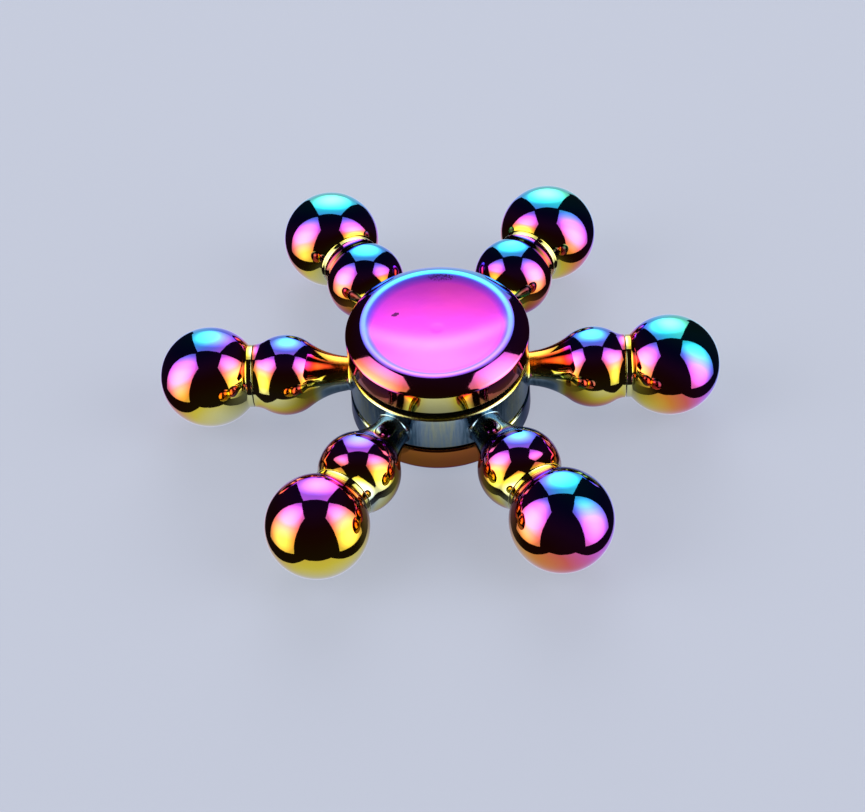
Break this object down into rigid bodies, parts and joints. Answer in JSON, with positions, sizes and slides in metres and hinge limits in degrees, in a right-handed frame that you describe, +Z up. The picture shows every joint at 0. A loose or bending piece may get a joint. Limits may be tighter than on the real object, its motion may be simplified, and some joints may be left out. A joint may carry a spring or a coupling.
{
  "type": "fidget spinner",
  "caption": "Palm-sized metal spinner whose arms of paired balls turn on a ball bearing between two dished finger caps.",
  "frame": {"origin": "on the spin axis, in the plane of the bottom cap's flat rim, which the spinner stands on", "axes": "+Z up along the spin axis, +X along the first arm"},
  "size_m": [0.076, 0.0676, 0.0166],
  "materials": {
    "rotor_plating": "mirror-polished casting with an iridescent vapour coating, steel blue to green",
    "ball_plating": "mirror-polished iridescent vapour coating, cyan through violet and magenta to gold",
    "cap_plating": "polished edges and satin dish under an iridescent vapour coating, magenta to violet",
    "bearing_steel": "ground bearing steel",
    "cage_brass": "machined brass"
  },
  "bodies": {
    "finger_caps": {"top_cap": "cap_plating", "bottom_cap": "cap_plating", "centre_stud": "bearing_steel", "bearing_inner_race": "bearing_steel"},
    "rotor": {"rotor_body": "rotor_plating", "outer_ball_1": "ball_plating", "outer_ball_2": "ball_plating", "outer_ball_3": "ball_plating", "outer_ball_4": "ball_plating", "outer_ball_5": "ball_plating", "outer_ball_6": "ball_plating", "bearing_outer_race": "bearing_steel", "bearing_shield_top": "bearing_steel", "bearing_shield_bottom": "bearing_steel", "shield_clip_top": "bearing_steel", "shield_clip_bottom": "bearing_steel"},
    "ball_train": {"bearing_cage": "cage_brass", "bearing_ball_1": "bearing_steel", "bearing_ball_2": "bearing_steel", "bearing_ball_3": "bearing_steel", "bearing_ball_4": "bearing_steel", "bearing_ball_5": "bearing_steel", "bearing_ball_6": "bearing_steel", "bearing_ball_7": "bearing_steel", "bearing_ball_8": "bearing_steel", "bearing_ball_9": "bearing_steel", "bearing_ball_10": "bearing_steel"}
  },
  "joints": [
    {"name": "rotor_spin", "type": "hinge", "parent": "finger_caps", "child": "rotor", "pos_m": [0, 0, 0.00748], "axis": [0, 0, 1], "continuous": true},
    {"name": "ball_train_spin", "type": "hinge", "parent": "finger_caps", "child": "ball_train", "pos_m": [0, 0, 0.00748], "axis": [0, 0, 1], "continuous": true}
  ],
  "couplings": [
    {"joint": "ball_train_spin", "follows": "rotor_spin", "ratio": 0.58336}
  ]
}
